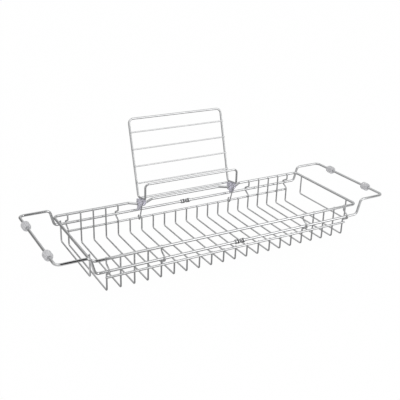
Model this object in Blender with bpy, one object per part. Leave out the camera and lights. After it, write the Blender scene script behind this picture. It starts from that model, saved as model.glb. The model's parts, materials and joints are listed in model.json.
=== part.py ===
"""Wire bath caddy: a welded basket, two sliding arms and a folding reading rack.

Metres, +Z up. X runs along the caddy, from rim to rim of the tub, and Y from the
bather towards the wall. The origin lies under the middle floor wire, on the plane
that the basket stands on. The arms are modelled pushed in and the rack upright.
"""

import math

import bmesh
import bpy
from mathutils import Vector

# Wire sizes
RIM_WIRE_RADIUS = 0.00245
ARM_WIRE_RADIUS = 0.0024
RAIL_WIRE_RADIUS = 0.0020
CROSS_WIRE_RADIUS = 0.00145
RACK_WIRE_RADIUS = 0.0020
RACK_BAR_RADIUS = 0.0013
BRACKET_WIRE_RADIUS = 0.0012

# Clearances: between welded wires, and where one piece runs in another
WELD_GAP = 0.0003
RUNNING_GAP = 0.0004

# Basket
WIRE_PITCH = 0.025
WIRE_COUNT = 21
FULL_WIRES = 5
GUIDE_PLACES = (0, 4)
BASKET_SPREAD = 0.1876
BASKET_DEPTH = 0.0612
FLOOR_BEND = 0.0036
WIRE_TIP = 0.0012
RIM_OVERHANG = 0.0256
RIM_CORNER = 0.0090
RAIL_DROP = 0.0346
RAIL_TIP = 0.0030
END_WIRE_SPREAD = 0.1456
END_WIRE_FORWARD = 0.0022
END_WIRE_DROP = 0.0388
END_WIRE_TIP = 0.0030

# Guide loops bent into the cross wires, round the arms' legs
GUIDE_HALF_HEIGHT = 0.0100
GUIDE_BEND = 0.0025

# Arms, which meet a little to the right of the middle when they are pushed in
ARMS_MEET_X = 0.0015
LEG_DROP = 0.0200
ARM_RISE = 0.0105
ARM_STEP_RUN = 0.0080
ARM_REST_LENGTH = 0.0565
ARM_STEP_BEND = 0.0080
ARM_CORNER_BEND = 0.0095
CAP_GAP = 0.0003

# Stop caps on the legs' inner ends
CAP_LENGTH = 0.0096
CAP_RADIUS = 0.0043
CAP_WALL = 0.0016
CAP_EDGE = 0.0030
CAP_BEAD_LENGTH = 0.0042
CAP_TAPER_LENGTH = 0.0005
CAP_COLLAR_LENGTH = 0.0040
CAP_WAIST_WALL = 0.0005

# Grip pads on the arms' end bars
GRIP_RADIUS = 0.0078
GRIP_LENGTH = 0.0175
GRIP_EDGE = 0.0040
LEFT_FRONT_GRIP_PLACE = 0.0650
LEFT_REAR_GRIP_PLACE = 0.0570
RIGHT_FRONT_GRIP_PLACE = 0.0530
RIGHT_REAR_GRIP_PLACE = 0.0572

# Joggle in the rim that carries each rack clip
JOG_DEPTH = 0.0107
JOG_FLAT = 0.0186
JOG_INNER_RUN = 0.0170
JOG_OUTER_RUN = 0.0145
JOG_BEND = 0.0055

# Reading rack
RACK_WIDTH = 0.2054
RACK_LEAN = math.radians(16.8)
RACK_HEIGHT = 0.1510
RACK_CORNER = 0.0090
RACK_FOOT_BEND = 0.0055
RACK_FOOT_BACK = 0.0164
LEDGE_LIFT = 0.0096
LEDGE_SLOPE = math.radians(8.2)
LEDGE_DEPTH = 0.0322
LEDGE_BAR_DROP = 0.0020
LIP_HEIGHT = 0.0312
LIP_CORNER = 0.0075
RACK_BAR_COUNT = 4
RACK_BAR_START = 0.0260
RACK_BAR_PITCH = 0.0330
RACK_BAR_TIP = 0.0015

# Rack clips, which turn on the joggles
CLIP_LENGTH = 0.0150
CLIP_SHIFT = 0.0015
CLIP_RADIUS = 0.0060
CLIP_SADDLE_WIDTH = 0.0110
CLIP_CRADLE_DROP = 0.0010
CLIP_SLOT_GAP = 0.0004
CLIP_SLOT_OFFSET = 0.0012
CLIP_MOUTH_WIDTH = 0.0038
CLIP_MOUTH_ANGLE = math.radians(222)
TAIL_LENGTH = 0.0135
TAIL_THICKNESS = 0.0025
TAIL_WIDTH = 0.0100

# Brackets, which steady the clips against the lower rail
BRACKET_TOP_START = math.radians(-35)
BRACKET_TIP_RISE = 0.0032
BRACKET_TIP_LENGTH = 0.0072
BRACKET_TIP_LEAN = math.radians(58)
BRACKET_TIP_BEND = 0.0025

# How finely round shapes are cut
ROUND_SIDES = 10
THIN_SIDES = 8
TURNED_SIDES = 20
BORE_SIDES = 16
EDGE_STEPS = 3
ARC_STEP = math.radians(24)
SHARP_ANGLE = math.radians(50)

# A cutter reaches past what it cuts by this much
OVERRUN = 0.0020


def flat_radius(radius, sides):
    """Distance from a wire's axis to one of its flats."""
    return radius * math.cos(math.pi / sides)


# Places worked out from the sizes above
RIM_Z = BASKET_DEPTH + flat_radius(CROSS_WIRE_RADIUS, THIN_SIDES)
FLOOR_Z = RIM_Z - BASKET_DEPTH
RAIL_Z = RIM_Z - RAIL_DROP
LEG_Z = RIM_Z - LEG_DROP
ARM_Z = RIM_Z + ARM_RISE
WALL_Y = BASKET_SPREAD / 2
RIM_Y = WALL_Y + CROSS_WIRE_RADIUS + WELD_GAP + RIM_WIRE_RADIUS
RAIL_Y = WALL_Y + CROSS_WIRE_RADIUS + WELD_GAP + RAIL_WIRE_RADIUS
LEG_Y = RIM_Y + RIM_WIRE_RADIUS + RUNNING_GAP + ARM_WIRE_RADIUS
LAST_WIRE_X = WIRE_PITCH * (WIRE_COUNT - 1) / 2
RIM_X = LAST_WIRE_X + RIM_OVERHANG
END_WIRE_X = RIM_X - RIM_WIRE_RADIUS - WELD_GAP - CROSS_WIRE_RADIUS
ARM_FOOT_X = RIM_X - ARMS_MEET_X
ARM_TOP_X = ARM_FOOT_X + ARM_STEP_RUN
ARM_END_X = ARM_TOP_X + ARM_REST_LENGTH
GUIDE_RADIUS = ARM_WIRE_RADIUS + RUNNING_GAP + CROSS_WIRE_RADIUS
CLIP_X = RACK_WIDTH / 2
PIVOT_Y = RIM_Y - JOG_DEPTH
PIVOT = Vector((0, PIVOT_Y, RIM_Z))
BRACKET_X = CLIP_X + CLIP_SLOT_OFFSET
BRACKET_EYE = RIM_WIRE_RADIUS + WELD_GAP + BRACKET_WIRE_RADIUS
BRACKET_HOOK = RAIL_WIRE_RADIUS + WELD_GAP + BRACKET_WIRE_RADIUS


def clear_scene():
    for item in list(bpy.data.objects):
        bpy.data.objects.remove(item, do_unlink=True)


def make_finish(name, colour, roughness, metallic, see_through=0.0):
    """A Principled material in one colour."""
    finish = bpy.data.materials.new(name)
    finish.use_nodes = True
    shader = finish.node_tree.nodes["Principled BSDF"]
    shader.inputs["Base Color"].default_value = (*colour, 1.0)
    shader.inputs["Roughness"].default_value = roughness
    shader.inputs["Metallic"].default_value = metallic
    shader.inputs["Transmission Weight"].default_value = see_through
    return finish


def world_place(empty):
    """An empty's place in the world, through the empties that carry it."""
    if empty.parent:
        return world_place(empty.parent) + empty.location
    return empty.location.copy()


def make_empty(name, place, carrier=None):
    """An empty on a joint's axis, which carries the pieces that move about it."""
    empty = bpy.data.objects.new(name, None)
    empty.parent = carrier
    empty.location = Vector(place) - world_place(carrier) if carrier else place
    bpy.context.collection.objects.link(empty)
    return empty


def make_piece(name, bm, finish, carrier=None):
    """Turn a bmesh in world places into an object, hung on its carrier if it moves."""
    if carrier:
        bmesh.ops.translate(bm, verts=bm.verts, vec=-world_place(carrier))
    bmesh.ops.recalc_face_normals(bm, faces=bm.faces)
    mesh = bpy.data.meshes.new(name)
    bm.to_mesh(mesh)
    bm.free()
    mesh.materials.append(finish)
    mesh.shade_smooth()
    mesh.set_sharp_from_angle(angle=SHARP_ANGLE)
    piece = bpy.data.objects.new(name, mesh)
    bpy.context.collection.objects.link(piece)
    if carrier:
        piece.parent = carrier
    return piece


def make_cutter(name, bm, piece):
    """A hidden solid that is cut out of a piece, in the piece's own places."""
    bmesh.ops.recalc_face_normals(bm, faces=bm.faces)
    mesh = bpy.data.meshes.new(name)
    bm.to_mesh(mesh)
    bm.free()
    cutter = bpy.data.objects.new(name, mesh)
    cutter.hide_render = True
    cutter.display_type = "WIRE"
    bpy.context.collection.objects.link(cutter)
    cutter.parent = piece.parent
    cut = piece.modifiers.new(name, "BOOLEAN")
    cut.operation = "DIFFERENCE"
    cut.solver = "EXACT"
    cut.object = cutter
    return cutter


def arc_points(centre, axis_a, axis_b, radius, start, end):
    """Points of an arc in the plane of two unit axes, from one angle to another."""
    steps = max(2, math.ceil(abs(end - start) / ARC_STEP))
    angles = [start + (end - start) * i / steps for i in range(steps + 1)]
    return [
        centre + axis_a * (radius * math.cos(a)) + axis_b * (radius * math.sin(a))
        for a in angles
    ]


def bend_wire(corners, bends, closed=False):
    """Round each corner of a wire's route with an arc of its bend radius."""
    corners = [Vector(c) for c in corners]
    count = len(corners)
    points = []
    for i, corner in enumerate(corners):
        if not closed and i in (0, count - 1):
            points.append(corner)
            continue
        back = (corners[i - 1] - corner).normalized()
        ahead = (corners[(i + 1) % count] - corner).normalized()
        half = back.angle(ahead) / 2
        turn = math.pi - 2 * half
        bend = bends[i] if isinstance(bends, (list, tuple)) else bends
        centre = corner + (back + ahead).normalized() * (bend / math.sin(half))
        out = (corner + back * (bend / math.tan(half)) - centre).normalized()
        points += arc_points(centre, out, -back, bend, 0, turn)
    return points


def sweep_wire(bm, points, radius, sides, up, closed=False):
    """Run a many-sided section along a route, mitred at every bend."""
    count = len(points)
    spans = count if closed else count - 1
    runs = [(points[(i + 1) % count] - points[i]).normalized() for i in range(spans)]
    side = runs[0].cross(Vector(up)).normalized()
    over = side.cross(runs[0])
    angles = [2 * math.pi * (k + 0.5) / sides + math.pi / 2 for k in range(sides)]
    offsets = [side * (radius * math.cos(a)) + over * (radius * math.sin(a)) for a in angles]
    rings = []
    for i, point in enumerate(points):
        before = runs[i - 1] if closed or i > 0 else runs[0]
        after = runs[i] if i < spans else runs[-1]
        if i > 0:
            turn = before.rotation_difference(after)
            offsets = [turn @ offset for offset in offsets]
        plane = (before + after).normalized()
        ring = [
            bm.verts.new(point + o - after * (o.dot(plane) / after.dot(plane)))
            for o in offsets
        ]
        rings.append(ring)
    for i in range(spans):
        near, far = rings[i], rings[(i + 1) % count]
        for k in range(sides):
            n = (k + 1) % sides
            bm.faces.new((near[k], near[n], far[n], far[k]))
    if not closed:
        bm.faces.new(list(reversed(rings[0])))
        bm.faces.new(rings[-1])


def make_wire(name, points, radius, sides, up, finish, carrier=None, closed=False):
    bm = bmesh.new()
    sweep_wire(bm, points, radius, sides, up, closed)
    return make_piece(name, bm, finish, carrier)


def turned_solid(profile, centre, axis, across, sides):
    """Turn a closed profile of (along, radius) points, its ends on the axis."""
    bm = bmesh.new()
    other = axis.cross(across)
    rings = []
    for along, radius in profile:
        if radius == 0:
            rings.append([bm.verts.new(centre + axis * along)])
            continue
        angles = [2 * math.pi * (k + 0.5) / sides for k in range(sides)]
        rings.append([
            bm.verts.new(
                centre + axis * along
                + across * (radius * math.cos(a)) + other * (radius * math.sin(a))
            )
            for a in angles
        ])
    for near, far in zip(rings, rings[1:]):
        for k in range(sides):
            n = (k + 1) % sides
            corners = [near[k % len(near)], near[n % len(near)], far[n % len(far)], far[k % len(far)]]
            unique = list(dict.fromkeys(corners))
            bm.faces.new(unique)
    return bm


def rounded_edge(radius, edge):
    """Profile points of a rounded edge, from an end face at zero out to the full radius."""
    angles = [math.pi / 2 * i / EDGE_STEPS for i in range(EDGE_STEPS + 1)]
    return [(edge * (1 - math.cos(a)), radius - edge * (1 - math.sin(a))) for a in angles]


def extruded_outline(outline, low_x, high_x):
    """A prism along X from an outline of (y, z) points."""
    bm = bmesh.new()
    near = [bm.verts.new((low_x, y, z)) for y, z in outline]
    far = [bm.verts.new((high_x, y, z)) for y, z in outline]
    count = len(outline)
    for k in range(count):
        n = (k + 1) % count
        bm.faces.new((near[k], near[n], far[n], far[k]))
    bm.faces.new(list(reversed(near)))
    bm.faces.new(far)
    return bm


def wire_places():
    """Each cross wire's place along the basket and its number from the nearer end."""
    for i in range(WIRE_COUNT):
        x = WIRE_PITCH * i - LAST_WIRE_X
        yield i, x, min(i, WIRE_COUNT - 1 - i)


def guide_apex():
    """Where a guide loop's two straight flanks would meet, out from the basket's wall."""
    reach = LEG_Y - WALL_Y
    half, radius = GUIDE_HALF_HEIGHT, GUIDE_RADIUS
    # The flanks are tangent to a circle of the loop's radius round the leg
    a = half ** 2 - radius ** 2
    b = -2 * radius ** 2 * reach
    c = -radius ** 2 * (half ** 2 + reach ** 2)
    return LEG_Y + (-b + math.sqrt(b ** 2 - 4 * a * c)) / (2 * a)


def cross_wire_route(x, from_end):
    """A cross wire from its front top, down, across the floor and up the back."""
    top = RIM_Z + WIRE_TIP if from_end < FULL_WIRES else RAIL_Z + WIRE_TIP
    heights = [(WALL_Y, top, None)]
    if from_end in GUIDE_PLACES:
        heights += [
            (WALL_Y, LEG_Z + GUIDE_HALF_HEIGHT, GUIDE_BEND),
            (guide_apex(), LEG_Z, GUIDE_RADIUS),
            (WALL_Y, LEG_Z - GUIDE_HALF_HEIGHT, GUIDE_BEND),
        ]
    heights.append((WALL_Y, FLOOR_Z, FLOOR_BEND))
    front = [((x, -y, z), bend) for y, z, bend in heights]
    back = [((x, y, z), bend) for y, z, bend in reversed(heights)]
    route = front + back
    return bend_wire([place for place, _ in route], [bend for _, bend in route])


def build_cross_wires(finish):
    for i, x, from_end in wire_places():
        points = cross_wire_route(x, from_end)
        name = f"cross_wire_{i + 1:02d}"
        make_wire(name, points, CROSS_WIRE_RADIUS, THIN_SIDES, (1, 0, 0), finish)


def rim_corners():
    """The rim's route, with a joggle towards the bather at each rack clip."""
    inner = CLIP_X - JOG_FLAT / 2
    outer = CLIP_X + JOG_FLAT / 2
    back = [
        (RIM_X, RIM_Y, RIM_CORNER),
        (outer + JOG_OUTER_RUN, RIM_Y, JOG_BEND),
        (outer, PIVOT_Y, JOG_BEND),
        (inner, PIVOT_Y, JOG_BEND),
        (inner - JOG_INNER_RUN, RIM_Y, JOG_BEND),
    ]
    route = back + [(-x, y, bend) for x, y, bend in reversed(back)]
    route += [(-RIM_X, -RIM_Y, RIM_CORNER), (RIM_X, -RIM_Y, RIM_CORNER)]
    return [(x, y, RIM_Z) for x, y, _ in route], [bend for _, _, bend in route]


def build_rim(finish):
    corners, bends = rim_corners()
    points = bend_wire(corners, bends, closed=True)
    make_wire("basket_rim", points, RIM_WIRE_RADIUS, ROUND_SIDES, (0, 0, 1), finish, closed=True)


def build_lower_rails(finish):
    reach = LAST_WIRE_X + RAIL_TIP
    for name, y in (("front_lower_rail", -RAIL_Y), ("rear_lower_rail", RAIL_Y)):
        points = [Vector((-reach, y, RAIL_Z)), Vector((reach, y, RAIL_Z))]
        make_wire(name, points, RAIL_WIRE_RADIUS, ROUND_SIDES, (0, 0, 1), finish)


def build_end_wires(finish):
    half = END_WIRE_SPREAD / 2
    top, bottom = RIM_Z + END_WIRE_TIP, RIM_Z - END_WIRE_DROP
    front, rear = -END_WIRE_FORWARD - half, -END_WIRE_FORWARD + half
    for name, x in (("left_end_wire", -END_WIRE_X), ("right_end_wire", END_WIRE_X)):
        corners = [(x, front, top), (x, front, bottom), (x, rear, bottom), (x, rear, top)]
        points = bend_wire(corners, FLOOR_BEND)
        make_wire(name, points, CROSS_WIRE_RADIUS, THIN_SIDES, (1, 0, 0), finish)


def build_arm(side, name, finish, carrier):
    """One arm: two legs along the basket, joined outside it by a raised end bar."""
    corners = [
        (CAP_GAP + CAP_WALL + WELD_GAP, LEG_Z, None),
        (ARM_FOOT_X, LEG_Z, ARM_STEP_BEND),
        (ARM_TOP_X, ARM_Z, ARM_STEP_BEND),
        (ARM_END_X, ARM_Z, ARM_CORNER_BEND),
    ]
    half_route = [((side * x + ARMS_MEET_X, LEG_Y, z), bend) for x, z, bend in corners]
    route = [((x, -y, z), bend) for (x, y, z), bend in half_route]
    route += list(reversed(half_route))
    points = bend_wire([place for place, _ in route], [bend for _, bend in route])
    make_wire(name, points, ARM_WIRE_RADIUS, ROUND_SIDES, (0, 0, 1), finish, carrier)


def build_stop_cap(side, y, name, finish, carrier):
    """A turned cap over a leg's inner end: a bead, a waist and a collar."""
    bore = ARM_WIRE_RADIUS + WELD_GAP
    waist = bore + CAP_WAIST_WALL
    profile = [(0, 0)] + rounded_edge(CAP_RADIUS, CAP_EDGE) + [
        (CAP_BEAD_LENGTH, CAP_RADIUS),
        (CAP_BEAD_LENGTH + CAP_TAPER_LENGTH, waist),
        (CAP_LENGTH - CAP_COLLAR_LENGTH - CAP_TAPER_LENGTH, waist),
        (CAP_LENGTH - CAP_COLLAR_LENGTH, CAP_RADIUS),
        (CAP_LENGTH, CAP_RADIUS),
        (CAP_LENGTH, bore),
        (CAP_WALL, bore),
        (CAP_WALL, 0),
    ]
    centre = Vector((side * CAP_GAP + ARMS_MEET_X, y, LEG_Z))
    bm = turned_solid(profile, centre, Vector((side, 0, 0)), Vector((0, 0, 1)), BORE_SIDES)
    make_piece(name, bm, finish, carrier)


def build_grip(side, y, name, finish, arm_slide):
    """A barrel-shaped pad threaded on the arm's end bar, along which it slides."""
    half = GRIP_LENGTH / 2
    lower = [(along - half, radius) for along, radius in rounded_edge(GRIP_RADIUS, GRIP_EDGE)]
    profile = [(-half, 0)] + lower + [(-z, r) for z, r in reversed(lower)] + [(half, 0)]
    centre = Vector((side * ARM_END_X + ARMS_MEET_X, y, ARM_Z))
    slide = make_empty(f"{name}_slide", centre, arm_slide)
    bm = turned_solid(profile, centre, Vector((0, 1, 0)), Vector((0, 0, 1)), TURNED_SIDES)
    piece = make_piece(name, bm, finish, slide)
    radius = (ARM_WIRE_RADIUS + WELD_GAP) / math.cos(math.pi / BORE_SIDES)
    reach = half + OVERRUN
    bore = turned_solid(
        [(-reach, 0), (-reach, radius), (reach, radius), (reach, 0)],
        Vector((0, 0, 0)), Vector((0, 1, 0)), Vector((0, 0, 1)), BORE_SIDES,
    )
    make_cutter(f"{name}_bore", bore, piece)


def build_arms(steel, grip, cap):
    arms = (
        (-1, "left", -LEFT_FRONT_GRIP_PLACE, LEFT_REAR_GRIP_PLACE),
        (1, "right", -RIGHT_FRONT_GRIP_PLACE, RIGHT_REAR_GRIP_PLACE),
    )
    for side, label, front_y, rear_y in arms:
        slide = make_empty(f"{label}_arm_slide", (0, 0, LEG_Z))
        build_arm(side, f"{label}_arm", steel, slide)
        for place, grip_y, leg_y in (("front", front_y, -LEG_Y), ("rear", rear_y, LEG_Y)):
            build_grip(side, grip_y, f"{label}_{place}_grip", grip, slide)
            build_stop_cap(side, leg_y, f"{label}_{place}_stop_cap", cap, slide)


def rack_profile():
    """The rack's side view from its pivot, as (y, z): top, foot, lip's base, lip's top."""
    foot = Vector((RACK_FOOT_BACK, LEDGE_LIFT - RACK_FOOT_BACK * math.tan(LEDGE_SLOPE)))
    top = foot + Vector((math.sin(RACK_LEAN), math.cos(RACK_LEAN))) * RACK_HEIGHT
    base = foot + Vector((-math.cos(LEDGE_SLOPE), math.sin(LEDGE_SLOPE))) * LEDGE_DEPTH
    lip = base + Vector((0, LIP_HEIGHT))
    return top, foot, base, lip


def build_rack_frame(finish, carrier):
    """One closed wire: the backrest, the ledge's sides and the lip."""
    top, foot, base, lip = rack_profile()
    half_route = [
        (top, RACK_CORNER), (foot, RACK_FOOT_BEND), (base, RACK_FOOT_BEND), (lip, LIP_CORNER),
    ]
    corners = [PIVOT + Vector((-CLIP_X, p.x, p.y)) for p, _ in half_route]
    corners += [PIVOT + Vector((CLIP_X, p.x, p.y)) for p, _ in reversed(half_route)]
    bends = [bend for _, bend in half_route]
    bends += list(reversed(bends))
    points = bend_wire(corners, bends, closed=True)
    up = (0, -math.cos(RACK_LEAN), math.sin(RACK_LEAN))
    make_wire("rack_frame", points, RACK_WIRE_RADIUS, ROUND_SIDES, up, finish, carrier, closed=True)


def build_rack_bars(finish, carrier):
    """Thin bars welded across the front of the backrest."""
    _, foot, _, _ = rack_profile()
    along = Vector((math.sin(RACK_LEAN), math.cos(RACK_LEAN)))
    front = Vector((-math.cos(RACK_LEAN), math.sin(RACK_LEAN)))
    stand_off = RACK_WIRE_RADIUS + WELD_GAP + RACK_BAR_RADIUS
    half = CLIP_X + RACK_BAR_TIP
    up = (0, front.x, front.y)
    for i in range(RACK_BAR_COUNT):
        place = foot + along * (RACK_BAR_START + RACK_BAR_PITCH * i) + front * stand_off
        ends = [PIVOT + Vector((x, place.x, place.y)) for x in (-half, half)]
        make_wire(f"rack_bar_{i + 1}", ends, RACK_BAR_RADIUS, THIN_SIDES, up, finish, carrier)


def build_ledge_bar(finish, carrier):
    """The bar between the rack's sides at the back of the ledge, where a book stands."""
    _, foot, base, _ = rack_profile()
    forward = (base - foot).normalized()
    upward = Vector((math.sin(RACK_LEAN), math.cos(RACK_LEAN)))
    setback = RACK_FOOT_BEND / math.tan(forward.angle(upward) / 2)
    place = foot + forward * setback - Vector((0, LEDGE_BAR_DROP))
    half = CLIP_X - RACK_WIRE_RADIUS - WELD_GAP
    ends = [PIVOT + Vector((x, place.x, place.y)) for x in (-half, half)]
    make_wire("ledge_bar", ends, RACK_WIRE_RADIUS, ROUND_SIDES, (0, 0, 1), finish, carrier)


def shank_angle():
    """Direction, from the pivot, that is square to the bracket's straight shank.

    The shank is tangent to the eye round the joggle and to the hook round the rail.
    """
    rail = Vector((RAIL_Y - PIVOT_Y, RAIL_Z - RIM_Z))
    reach = math.acos((BRACKET_HOOK - BRACKET_EYE) / rail.length)
    return reach + math.atan2(rail.y, rail.x)


def build_bracket(side, name, finish):
    """A wire from an eye round the joggle down to a nearly closed hook round the lower rail."""
    beta = shank_angle()
    axis_y, axis_z = Vector((0, 1, 0)), Vector((0, 0, 1))
    eye_centre = Vector((side * BRACKET_X, PIVOT_Y, RIM_Z))
    hook_centre = Vector((side * BRACKET_X, RAIL_Y, RAIL_Z))
    points = arc_points(
        eye_centre, axis_y, axis_z, BRACKET_EYE, BRACKET_TOP_START, math.pi + beta
    )
    points += arc_points(
        hook_centre, axis_y, axis_z, BRACKET_HOOK, math.pi + beta, 2 * math.pi
    )
    rise = points.pop()
    turn = rise + axis_z * BRACKET_TIP_RISE
    lean = axis_z * math.cos(BRACKET_TIP_LEAN) - axis_y * math.sin(BRACKET_TIP_LEAN)
    points += bend_wire([rise, turn, turn + lean * BRACKET_TIP_LENGTH], BRACKET_TIP_BEND)
    make_wire(name, points, BRACKET_WIRE_RADIUS, THIN_SIDES, (1, 0, 0), finish)


def circle_crossing(normal, offset, direction, radius):
    """Where a line at an offset along its normal leaves a circle round the origin."""
    return normal * offset + direction * math.sqrt(radius ** 2 - offset ** 2)


def clip_outline():
    """The clip's side view: a drum, a saddle over it and a tail behind the bracket."""
    beta = shank_angle()
    normal = Vector((math.cos(beta), math.sin(beta)))
    down = Vector((math.sin(beta), -math.cos(beta)))
    front = -BRACKET_EYE + BRACKET_WIRE_RADIUS + WELD_GAP
    back = front + TAIL_THICKNESS
    tail_start = circle_crossing(normal, front, down, CLIP_RADIUS)
    tail_end = circle_crossing(normal, back, down, CLIP_RADIUS)
    half = CLIP_SADDLE_WIDTH / 2
    shoulder = math.acos(half / CLIP_RADIUS)
    top = LEDGE_LIFT - CLIP_CRADLE_DROP
    origin, y_axis, z_axis = Vector((0, 0)), Vector((1, 0)), Vector((0, 1))
    start = math.atan2(tail_start.y, tail_start.x) + 2 * math.pi
    end = math.atan2(tail_end.y, tail_end.x) + 2 * math.pi
    outline = [Vector((half, top)), Vector((-half, top))]
    outline += arc_points(origin, y_axis, z_axis, CLIP_RADIUS, math.pi - shoulder, start)
    outline += [normal * front + down * TAIL_LENGTH, normal * back + down * TAIL_LENGTH]
    outline += arc_points(origin, y_axis, z_axis, CLIP_RADIUS, end, 2 * math.pi + shoulder)
    return outline


def slot_outline():
    """The slot's side view: room for the bracket's eye, and for its shank as the rack folds."""
    beta = shank_angle()
    normal = Vector((math.cos(beta), math.sin(beta)))
    down = Vector((math.sin(beta), -math.cos(beta)))
    radius = BRACKET_EYE + BRACKET_WIRE_RADIUS + CLIP_SLOT_GAP
    edge = -BRACKET_EYE + BRACKET_WIRE_RADIUS + WELD_GAP / 2
    reach = CLIP_RADIUS + OVERRUN
    corner = circle_crossing(normal, edge, down, radius)
    foot = normal * edge + down * reach
    start = math.atan2(corner.y, corner.x)
    arc = arc_points(Vector((0, 0)), Vector((1, 0)), Vector((0, 1)), radius, start, math.pi / 2)
    return [Vector((-reach, radius)), Vector((-reach, foot.y)), foot] + arc


def build_clip(side, name, finish, carrier):
    """A moulded clip that turns on the joggle and carries the rack's side wire.

    Both clips are the same moulding, so both reach further to the left.
    """
    middle_x = side * CLIP_X - CLIP_SHIFT
    low, high = middle_x - CLIP_LENGTH / 2, middle_x + CLIP_LENGTH / 2
    world = [(PIVOT_Y + p.x, RIM_Z + p.y) for p in clip_outline()]
    piece = make_piece(name, extruded_outline(world, low, high), finish, carrier)

    # From here on, places are measured from the pivot
    half_slot = BRACKET_WIRE_RADIUS + CLIP_SLOT_GAP
    slot = extruded_outline(
        slot_outline(), side * BRACKET_X - half_slot, side * BRACKET_X + half_slot
    )
    make_cutter(f"{name}_slot", slot, piece)

    radius = (RIM_WIRE_RADIUS + WELD_GAP) / math.cos(math.pi / BORE_SIDES)
    reach = CLIP_LENGTH / 2 + OVERRUN
    bore = turned_solid(
        [(-reach, 0), (-reach, radius), (reach, radius), (reach, 0)],
        Vector((middle_x, 0, 0)), Vector((1, 0, 0)), Vector((0, 0, 1)), BORE_SIDES,
    )
    make_cutter(f"{name}_bore", bore, piece)

    out = Vector((math.cos(CLIP_MOUTH_ANGLE), math.sin(CLIP_MOUTH_ANGLE)))
    across = Vector((-out.y, out.x)) * (CLIP_MOUTH_WIDTH / 2)
    far = out * (CLIP_RADIUS + OVERRUN)
    mouth = [-across, far - across, far + across, across]
    make_cutter(
        f"{name}_mouth",
        extruded_outline(mouth, middle_x - reach, middle_x + reach), piece,
    )

    along = Vector((0, -math.cos(LEDGE_SLOPE), math.sin(LEDGE_SLOPE)))
    radius = (RACK_WIRE_RADIUS + WELD_GAP) / math.cos(math.pi / BORE_SIDES)
    reach = CLIP_SADDLE_WIDTH / 2 + OVERRUN
    groove = turned_solid(
        [(-reach, 0), (-reach, radius), (reach, radius), (reach, 0)],
        Vector((side * CLIP_X, 0, LEDGE_LIFT)), along, Vector((1, 0, 0)), BORE_SIDES,
    )
    make_cutter(f"{name}_groove", groove, piece)

    # The tail is narrower than the clip: its inner flank is cut away below the drum
    spare = CLIP_LENGTH - TAIL_WIDTH
    inner = middle_x - side * CLIP_LENGTH / 2
    low, high = sorted((inner - side * OVERRUN, inner + side * spare))
    flank = [
        (-CLIP_RADIUS, -CLIP_RADIUS), (-CLIP_RADIUS, -TAIL_LENGTH - OVERRUN),
        (TAIL_LENGTH, -TAIL_LENGTH - OVERRUN), (TAIL_LENGTH, -CLIP_RADIUS),
    ]
    make_cutter(f"{name}_flank", extruded_outline(flank, low, high), piece)


def build_rack(steel, plastic):
    pivot = make_empty("rack_pivot", PIVOT)
    build_rack_frame(steel, pivot)
    build_rack_bars(steel, pivot)
    build_ledge_bar(steel, pivot)
    for side, label in ((-1, "left"), (1, "right")):
        build_clip(side, f"{label}_rack_clip", plastic, pivot)
        build_bracket(side, f"{label}_rack_bracket", steel)


def build_caddy():
    clear_scene()
    steel = make_finish("chromed_steel", (0.82, 0.83, 0.84), 0.12, 1.0)
    grip = make_finish("frosted_grip", (0.66, 0.67, 0.69), 0.45, 0.0, 0.35)
    clip = make_finish("clip_plastic", (0.62, 0.61, 0.66), 0.35, 0.0, 0.25)
    build_rim(steel)
    build_lower_rails(steel)
    build_cross_wires(steel)
    build_end_wires(steel)
    build_arms(steel, grip, steel)
    build_rack(steel, clip)
    bpy.context.view_layer.update()


build_caddy()
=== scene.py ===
import json
import math

import bmesh
import bpy
from mathutils import Matrix, Vector


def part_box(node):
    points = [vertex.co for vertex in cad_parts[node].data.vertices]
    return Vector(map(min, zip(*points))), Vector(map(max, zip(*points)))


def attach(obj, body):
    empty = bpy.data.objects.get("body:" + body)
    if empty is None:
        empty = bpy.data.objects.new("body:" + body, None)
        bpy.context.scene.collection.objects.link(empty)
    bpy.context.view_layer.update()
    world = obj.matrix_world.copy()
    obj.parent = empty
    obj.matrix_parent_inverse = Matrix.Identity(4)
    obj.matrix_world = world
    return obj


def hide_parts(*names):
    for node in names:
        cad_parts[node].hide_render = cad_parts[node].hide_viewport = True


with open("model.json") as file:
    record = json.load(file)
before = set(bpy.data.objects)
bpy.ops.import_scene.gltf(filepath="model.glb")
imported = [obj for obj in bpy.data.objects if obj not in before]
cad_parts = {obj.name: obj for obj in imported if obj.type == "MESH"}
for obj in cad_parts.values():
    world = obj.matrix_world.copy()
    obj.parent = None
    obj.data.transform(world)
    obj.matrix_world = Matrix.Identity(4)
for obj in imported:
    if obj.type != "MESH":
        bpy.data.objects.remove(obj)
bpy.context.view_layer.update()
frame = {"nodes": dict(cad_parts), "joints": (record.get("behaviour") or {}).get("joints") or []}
nodes = frame["nodes"]
joints = {joint["name"]: joint for joint in frame["joints"]}
print("frame loaded:", len(nodes), "nodes")

# How finely the shapes are cut
meshing = {
    "bendStep": math.radians(6),
    "thickSides": 28,
    "thinSides": 20,
    "turnedSides": 56,
    "boreSides": 40,
    "edgeSteps": 8,
    "bevelSteps": 3,
    "railSteps": 12,
    "barSteps": 8,
    "smoothBelow": math.radians(35),
}


# Materials

def addNode(tree, kind, **sockets):
    node = tree.nodes.new(kind)
    for name, value in sockets.items():
        node.inputs[name.replace("_", " ")].default_value = value
    return node


def makeMaterial(name):
    material = bpy.data.materials.new(name)
    material.use_nodes = True
    tree = material.node_tree
    shader = tree.nodes["Principled BSDF"]
    return material, tree, shader


def addNoise(tree, coordinates, scale, detail, roughness=0.5):
    noise = addNode(tree, "ShaderNodeTexNoise", Scale=scale, Detail=detail, Roughness=roughness)
    tree.links.new(coordinates, noise.inputs["Vector"])
    return noise.outputs["Fac"]


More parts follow.
